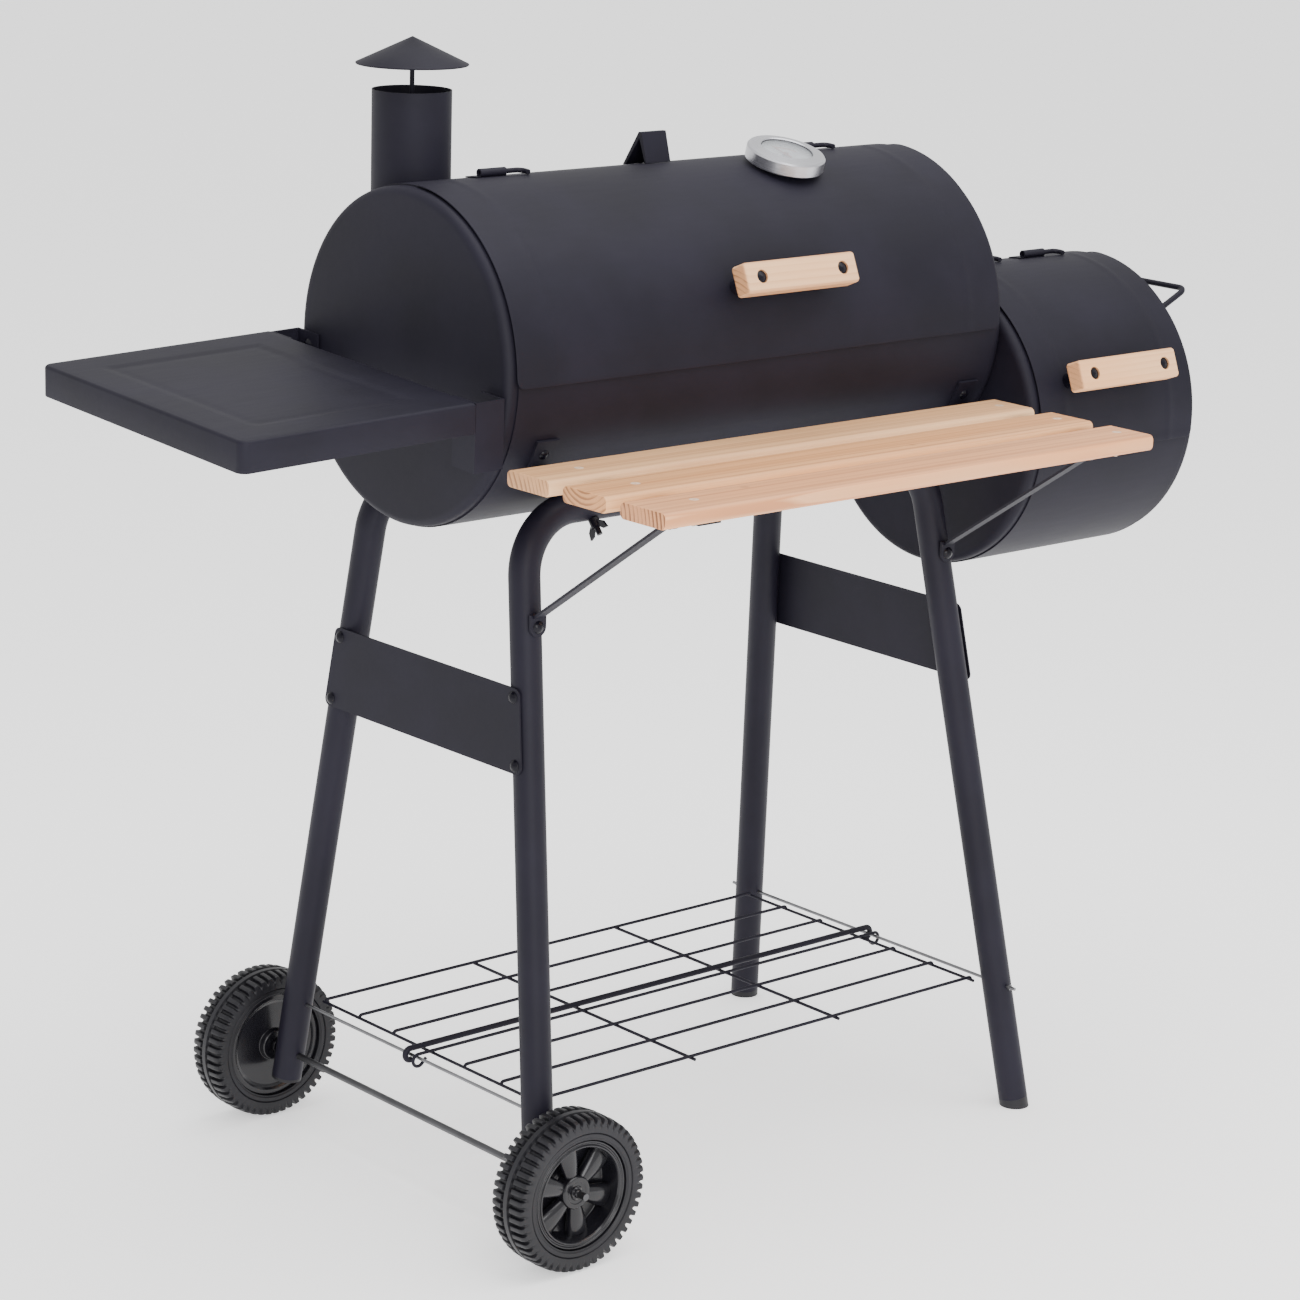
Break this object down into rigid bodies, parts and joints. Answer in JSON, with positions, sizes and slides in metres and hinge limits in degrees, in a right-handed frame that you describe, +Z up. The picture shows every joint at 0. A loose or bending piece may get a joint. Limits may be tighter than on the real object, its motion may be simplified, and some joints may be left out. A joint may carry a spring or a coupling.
{
  "type": "offset smoker",
  "caption": "Barrel smoker with a smaller offset firebox, hinged lids, chimney, side table and slatted front shelf, on a wheeled tube-frame stand with a wire rack.",
  "frame": {"origin": "on the floor, under the middle of the smoker's bounding box", "axes": "+X along the barrel from the side table to the firebox, +Y to the back (the slatted shelf is at the front, -Y), +Z up"},
  "size_m": [1.1798, 0.6328, 1.073],
  "materials": {
    "black_paint": "heat-resistant black paint with a satin sheen",
    "black_steel": "black coated rod and flat bar",
    "black_fasteners": "glossy black coated screws, bolts and nuts",
    "bare_steel": "dull plated steel rod",
    "grate_wire": "glossy black enamelled wire",
    "pine": "planed pale softwood, lightly sealed",
    "wheel_tyre": "hard moulded black tread",
    "wheel_hub": "glossy black moulding",
    "moulded_plug": "black moulded plug",
    "bezel": "brushed, slightly coned bezel",
    "dial": "pale grey dial face",
    "needle": "painted pointer",
    "gauge_glass": "clear flat glass"
  },
  "bodies": {
    "smoker": {"barrel_shell": "black_paint", "barrel_end_left": "black_paint", "barrel_end_right": "black_paint", "lid_hinge_tubes": "black_steel", "lid_stop": "black_steel", "cooking_grates": "grate_wire", "charcoal_grate": "grate_wire", "grate_rests": "black_paint", "chimney_pipe": "black_paint", "chimney_crossbar": "black_paint", "firebox_shell": "black_paint", "firebox_end_left": "black_paint", "firebox_end_right": "black_paint", "firebox_hinge_tubes": "black_steel", "firebox_cooking_grate": "grate_wire", "firebox_charcoal_grate": "grate_wire", "lifting_handle": "black_steel", "body_bolts": "black_fasteners", "side_table": "black_paint", "table_brackets": "black_paint", "shelf_slat_back": "pine", "shelf_slat_middle": "pine", "shelf_slat_front": "pine", "shelf_arms": "black_steel", "shelf_struts": "black_steel", "shelf_screws": "black_fasteners", "arm_screws": "black_fasteners", "front_leg_frame": "black_paint", "rear_leg_frame": "black_paint", "leg_caps": "moulded_plug", "left_cross_plate": "black_paint", "right_cross_plate": "black_paint", "leg_screws": "black_fasteners", "wing_bolts": "black_fasteners", "axle": "bare_steel", "axle_caps": "bare_steel", "rack_grid": "black_steel", "rack_centre_rod": "black_steel", "rack_cross_rods": "bare_steel", "rack_rod_nuts": "bare_steel"},
    "main_lid": {"main_lid": "black_paint", "lid_hinge_rods": "black_steel", "lid_handle": "pine", "lid_handle_standoffs": "black_steel", "lid_handle_bolts": "black_fasteners", "thermometer_case": "bezel", "thermometer_dial": "dial", "thermometer_glass": "gauge_glass", "thermometer_stem": "bare_steel"},
    "thermometer_needle": {"thermometer_needle": "needle"},
    "firebox_lid": {"firebox_lid": "black_paint", "firebox_hinge_rods": "black_steel", "firebox_handle": "pine", "firebox_handle_fixings": "black_fasteners"},
    "front_wheel": {"front_tyre": "wheel_tyre", "front_hub": "wheel_hub"},
    "rear_wheel": {"rear_tyre": "wheel_tyre", "rear_hub": "wheel_hub"},
    "air_vent": {"vent_shutter": "black_paint"},
    "chimney_cap": {"chimney_cap": "black_paint"}
  },
  "joints": [
    {"name": "main_lid_hinge", "type": "hinge", "parent": "smoker", "child": "main_lid", "pos_m": [-0.00511, 0.0556, 0.9574], "axis": [-1, 0, 0], "range_deg": [0, 126]},
    {"name": "thermometer_needle_turn", "type": "hinge", "parent": "main_lid", "child": "thermometer_needle", "pos_m": [0.10589, 0.01057, 0.94805], "axis": [0, 0.2756, -0.9613], "range_deg": [0, 270], "stiffness_Nm_per_rad": 0.002},
    {"name": "firebox_lid_hinge", "type": "hinge", "parent": "smoker", "child": "firebox_lid", "pos_m": [0.41989, 0.0012, 0.8396], "axis": [-1, 0, 0], "range_deg": [0, 130]},
    {"name": "front_wheel_spin", "type": "hinge", "parent": "smoker", "child": "front_wheel", "pos_m": [-0.29117, -0.1828, 0.0738], "axis": [0, 1, 0], "continuous": true},
    {"name": "rear_wheel_spin", "type": "hinge", "parent": "smoker", "child": "rear_wheel", "pos_m": [-0.29117, 0.29, 0.0738], "axis": [0, 1, 0], "continuous": true},
    {"name": "air_vent_turn", "type": "hinge", "parent": "smoker", "child": "air_vent", "pos_m": [0.53879, -0.0008, 0.645], "axis": [1, 0, 0], "range_deg": [0, 60]},
    {"name": "chimney_cap_slide", "type": "slide", "parent": "smoker", "child": "chimney_cap", "axis": [0, 0, 1], "range_m": [-0.016, 0.02]}
  ]
}
